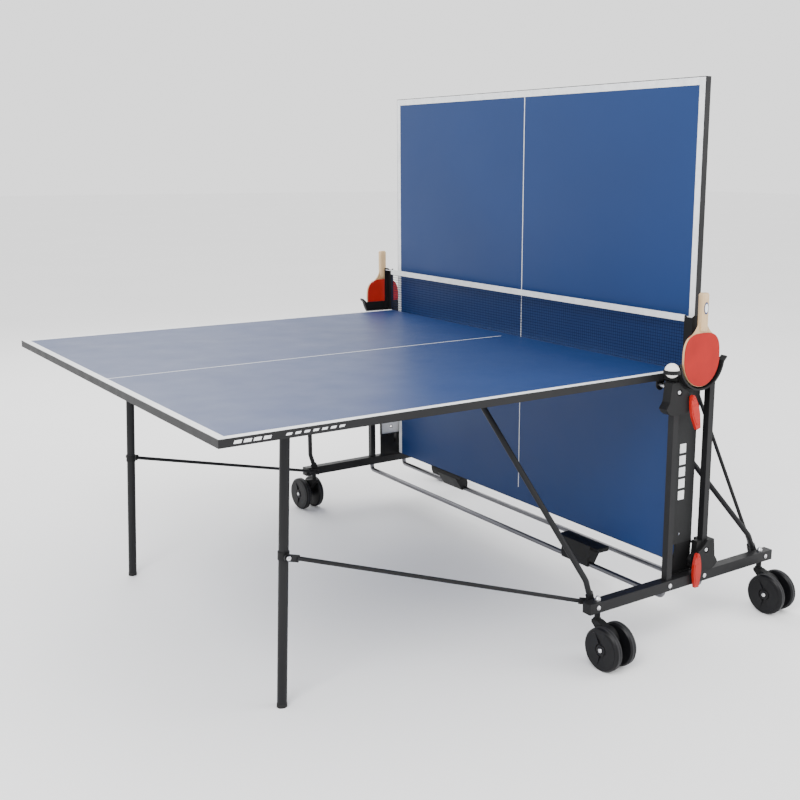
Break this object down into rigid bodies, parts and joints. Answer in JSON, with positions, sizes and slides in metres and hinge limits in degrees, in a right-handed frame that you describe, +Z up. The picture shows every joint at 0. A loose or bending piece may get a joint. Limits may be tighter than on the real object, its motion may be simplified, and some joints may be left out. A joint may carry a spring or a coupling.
{
  "type": "table tennis table",
  "caption": "Folding table tennis table, one half down and one half folded up, with net, rackets, balls, casters and folding legs.",
  "frame": {"origin": "centre of the base of the overall box, on the floor, with one half down and the other folded up", "axes": "+Z up, X along the table from the lowered half (-X) to the raised half (+X), Y across the table along the net"},
  "size_m": [1.7481, 1.8192, 1.548],
  "materials": {
    "table_blue": "pressed wood board painted in smooth low-gloss blue",
    "dark_steel": "smooth satin powder coat",
    "plate_steel": "smooth satin powder coat, pale on the inside",
    "bright_chrome": "polished plating",
    "zinc_steel": "plated fasteners and pins",
    "black_plastic": "fine textured moulding",
    "red_plastic": "glossy moulded levers",
    "wheel_plastic": "moulded wheel with a soft tread",
    "boot_rubber": "moulded rubber",
    "racket_wood": "varnished plywood",
    "racket_rubber": "smooth sheet rubber",
    "ball_plastic": "thin moulded ball",
    "net_mesh": "open knotted mesh",
    "net_white": "woven tape and cord"
  },
  "bodies": {
    "frame": {"side_beams": "dark_steel", "beam_end_caps": "black_plastic", "posts": "dark_steel", "plate_feet": "black_plastic", "cross_bars": "bright_chrome", "frame_rivets": "zinc_steel", "net_posts": "black_plastic", "net": "net_mesh", "net_tape": "net_white", "net_ties": "net_white", "near_cover_plate": "plate_steel", "far_cover_plate": "plate_steel", "near_racket_holder": "black_plastic", "far_racket_holder": "black_plastic", "left_fold_rest": "black_plastic", "right_fold_rest": "black_plastic"},
    "left_slider": {"left_carriages": "black_plastic"},
    "left_top": {"left_board": "table_blue", "left_rim": "dark_steel", "left_pin_brackets": "dark_steel", "left_pivot_pins": "zinc_steel", "left_leg_brackets": "black_plastic"},
    "left_legs": {"left_leg_frame": "dark_steel", "left_leg_feet": "boot_rubber", "left_rod_clips": "black_plastic"},
    "left_strut_pair": {"left_struts": "dark_steel"},
    "left_rod_pair": {"left_rods": "dark_steel"},
    "left_near_lever_body": {"left_near_lever": "red_plastic"},
    "left_far_lever_body": {"left_far_lever": "red_plastic"},
    "right_slider": {"right_carriages": "black_plastic"},
    "right_top": {"right_board": "table_blue", "right_rim": "dark_steel", "right_pin_brackets": "dark_steel", "right_pivot_pins": "zinc_steel", "right_leg_brackets": "black_plastic"},
    "right_legs": {"right_leg_frame": "dark_steel", "right_leg_feet": "boot_rubber", "right_rod_clips": "black_plastic"},
    "right_strut_pair": {"right_struts": "dark_steel"},
    "right_rod_pair": {"right_rods": "dark_steel"},
    "right_near_lever_body": {"right_near_lever": "red_plastic"},
    "right_far_lever_body": {"right_far_lever": "red_plastic"},
    "near_left_caster": {"near_left_caster_fork": "black_plastic"},
    "near_left_inner_roller": {"near_left_inner_wheel": "wheel_plastic"},
    "near_left_outer_roller": {"near_left_outer_wheel": "wheel_plastic"},
    "near_right_caster": {"near_right_caster_fork": "black_plastic"},
    "near_right_inner_roller": {"near_right_inner_wheel": "wheel_plastic"},
    "near_right_outer_roller": {"near_right_outer_wheel": "wheel_plastic"},
    "near_racket_set": {"near_racket": "racket_wood", "near_racket_rubber": "racket_rubber"},
    "near_ball_piece": {"near_ball": "ball_plastic"},
    "far_left_caster": {"far_left_caster_fork": "black_plastic"},
    "far_left_inner_roller": {"far_left_inner_wheel": "wheel_plastic"},
    "far_left_outer_roller": {"far_left_outer_wheel": "wheel_plastic"},
    "far_right_caster": {"far_right_caster_fork": "black_plastic"},
    "far_right_inner_roller": {"far_right_inner_wheel": "wheel_plastic"},
    "far_right_outer_roller": {"far_right_outer_wheel": "wheel_plastic"},
    "far_racket_set": {"far_racket": "racket_wood", "far_racket_rubber": "racket_rubber"},
    "far_ball_piece": {"far_ball": "ball_plastic"}
  },
  "joints": [
    {"name": "left_slide", "type": "slide", "parent": "frame", "child": "left_slider", "axis": [0, 0, -1], "range_m": [0, 0.476]},
    {"name": "left_fold", "type": "hinge", "parent": "left_slider", "child": "left_top", "pos_m": [0.42596, 0, 0.724], "axis": [0, 1, 0], "range_deg": [0, 90]},
    {"name": "left_leg_fold", "type": "hinge", "parent": "left_top", "child": "left_legs", "pos_m": [-0.61004, 0, 0.726], "axis": [0, 1, 0], "range_deg": [-82.5, 0]},
    {"name": "left_strut_swing", "type": "hinge", "parent": "left_top", "child": "left_strut_pair", "pos_m": [-0.023, 0, 0.732], "axis": [0, 1, 0], "range_deg": [-45.21, 0]},
    {"name": "left_rod_swing", "type": "hinge", "parent": "left_legs", "child": "left_rod_pair", "pos_m": [-0.62346, 0, 0.38992], "axis": [0, 1, 0], "range_deg": [0, 80.9]},
    {"name": "left_near_lever_pull", "type": "hinge", "parent": "left_slider", "child": "left_near_lever_body", "pos_m": [0.47096, -0.817, 0.694], "axis": [0, 1, 0], "range_deg": [0, 12]},
    {"name": "left_far_lever_pull", "type": "hinge", "parent": "left_slider", "child": "left_far_lever_body", "pos_m": [0.47096, 0.817, 0.694], "axis": [0, 1, 0], "range_deg": [0, 12]},
    {"name": "right_slide", "type": "slide", "parent": "frame", "child": "right_slider", "axis": [0, 0, 1], "range_m": [0, 0.476]},
    {"name": "right_fold", "type": "hinge", "parent": "right_slider", "child": "right_top", "pos_m": [0.56596, 0, 0.248], "axis": [0, 1, 0], "range_deg": [0, 90]},
    {"name": "right_leg_fold", "type": "hinge", "parent": "right_top", "child": "right_legs", "pos_m": [0.56396, 0, 1.284], "axis": [0, 1, 0], "range_deg": [-82.5, 0]},
    {"name": "right_strut_swing", "type": "hinge", "parent": "right_top", "child": "right_strut_pair", "pos_m": [0.55796, 0, 0.69696], "axis": [0, 1, 0], "range_deg": [-45.21, 0]},
    {"name": "right_rod_swing", "type": "hinge", "parent": "right_legs", "child": "right_rod_pair", "pos_m": [0.62114, 0, 0.95255], "axis": [0, 1, 0], "range_deg": [0, 80.9]},
    {"name": "right_near_lever_pull", "type": "hinge", "parent": "right_slider", "child": "right_near_lever_body", "pos_m": [0.52096, -0.817, 0.23], "axis": [0, -1, 0], "range_deg": [0, 12]},
    {"name": "right_far_lever_pull", "type": "hinge", "parent": "right_slider", "child": "right_far_lever_body", "pos_m": [0.52096, 0.817, 0.23], "axis": [0, -1, 0], "range_deg": [0, 12]},
    {"name": "near_left_caster_swivel", "type": "hinge", "parent": "frame", "child": "near_left_caster", "pos_m": [0.16596, -0.797, 0.118], "axis": [0, 0, 1], "continuous": true},
    {"name": "near_left_inner_roll", "type": "hinge", "parent": "near_left_caster", "child": "near_left_inner_roller", "pos_m": [0.17032, -0.84681, 0.06], "axis": [0.9962, 0.0872, 0], "continuous": true},
    {"name": "near_left_outer_roll", "type": "hinge", "parent": "near_left_caster", "child": "near_left_outer_roller", "pos_m": [0.17032, -0.84681, 0.06], "axis": [0.9962, 0.0872, 0], "continuous": true},
    {"name": "near_right_caster_swivel", "type": "hinge", "parent": "frame", "child": "near_right_caster", "pos_m": [0.82596, -0.797, 0.118], "axis": [0, 0, 1], "continuous": true},
    {"name": "near_right_inner_roll", "type": "hinge", "parent": "near_right_caster", "child": "near_right_inner_roller", "pos_m": [0.83032, -0.84681, 0.06], "axis": [0.9962, 0.0872, 0], "continuous": true},
    {"name": "near_right_outer_roll", "type": "hinge", "parent": "near_right_caster", "child": "near_right_outer_roller", "pos_m": [0.83032, -0.84681, 0.06], "axis": [0.9962, 0.0872, 0], "continuous": true},
    {"name": "near_racket_lift", "type": "slide", "parent": "frame", "child": "near_racket_set", "axis": [0, 0, 1], "range_m": [0, 0.2]},
    {"name": "near_ball_lift", "type": "slide", "parent": "frame", "child": "near_ball_piece", "axis": [0, 0, 1], "range_m": [0, 0.15]},
    {"name": "far_left_caster_swivel", "type": "hinge", "parent": "frame", "child": "far_left_caster", "pos_m": [0.16596, 0.797, 0.118], "axis": [0, 0, 1], "continuous": true},
    {"name": "far_left_inner_roll", "type": "hinge", "parent": "far_left_caster", "child": "far_left_inner_roller", "pos_m": [0.1616, 0.84681, 0.06], "axis": [-0.9962, -0.0872, 0], "continuous": true},
    {"name": "far_left_outer_roll", "type": "hinge", "parent": "far_left_caster", "child": "far_left_outer_roller", "pos_m": [0.1616, 0.84681, 0.06], "axis": [-0.9962, -0.0872, 0], "continuous": true},
    {"name": "far_right_caster_swivel", "type": "hinge", "parent": "frame", "child": "far_right_caster", "pos_m": [0.82596, 0.797, 0.118], "axis": [0, 0, 1], "continuous": true},
    {"name": "far_right_inner_roll", "type": "hinge", "parent": "far_right_caster", "child": "far_right_inner_roller", "pos_m": [0.8216, 0.84681, 0.06], "axis": [-0.9962, -0.0872, 0], "continuous": true},
    {"name": "far_right_outer_roll", "type": "hinge", "parent": "far_right_caster", "child": "far_right_outer_roller", "pos_m": [0.8216, 0.84681, 0.06], "axis": [-0.9962, -0.0872, 0], "continuous": true},
    {"name": "far_racket_lift", "type": "slide", "parent": "frame", "child": "far_racket_set", "axis": [0, 0, 1], "range_m": [0, 0.2]},
    {"name": "far_ball_lift", "type": "slide", "parent": "frame", "child": "far_ball_piece", "axis": [0, 0, 1], "range_m": [0, 0.15]}
  ],
  "couplings": [
    {"joint": "left_slide", "follows": "left_fold", "m_per_rad": 0.30303},
    {"joint": "left_leg_fold", "follows": "left_fold", "ratio": -0.91667},
    {"joint": "left_strut_swing", "follows": "left_fold", "ratio": -0.50234},
    {"joint": "left_rod_swing", "follows": "left_fold", "ratio": 0.89885},
    {"joint": "right_slide", "follows": "right_fold", "m_per_rad": 0.30303},
    {"joint": "right_leg_fold", "follows": "right_fold", "ratio": -0.91667},
    {"joint": "right_strut_swing", "follows": "right_fold", "ratio": -0.50234},
    {"joint": "right_rod_swing", "follows": "right_fold", "ratio": 0.89885}
  ]
}
